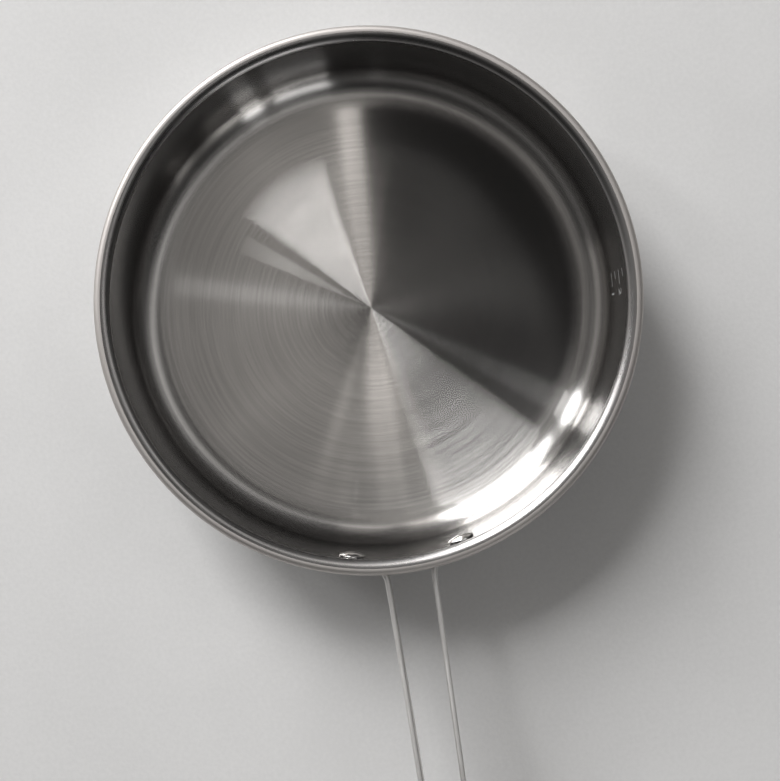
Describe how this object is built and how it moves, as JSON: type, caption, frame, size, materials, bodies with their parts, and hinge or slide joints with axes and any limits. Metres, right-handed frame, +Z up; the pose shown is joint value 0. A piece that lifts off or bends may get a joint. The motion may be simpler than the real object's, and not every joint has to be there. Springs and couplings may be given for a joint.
{
  "type": "saute pan",
  "caption": "Round shallow steel saute pan with a rolled pouring lip, a heat-spreading base and an open strip handle riveted to the wall.",
  "frame": {"origin": "centre of the flat underside, on the pan's axis", "axes": "+Z up along the pan's axis, handle along -Y, +X across"},
  "size_m": [0.2826, 0.4776, 0.0936],
  "materials": {
    "body_steel": "circular brushed cooking surface, polished wall and lip",
    "base_steel": "circular brushed",
    "spreader_aluminium": "plain, hidden inside the base",
    "handle_steel": "satin polished",
    "rivet_steel": "polished"
  },
  "bodies": {
    "root": {"pan_body": "body_steel", "heat_spreader": "spreader_aluminium", "base_cap": "base_steel", "handle_strip": "handle_steel", "rivet_left": "rivet_steel", "rivet_right": "rivet_steel"}
  },
  "joints": []
}
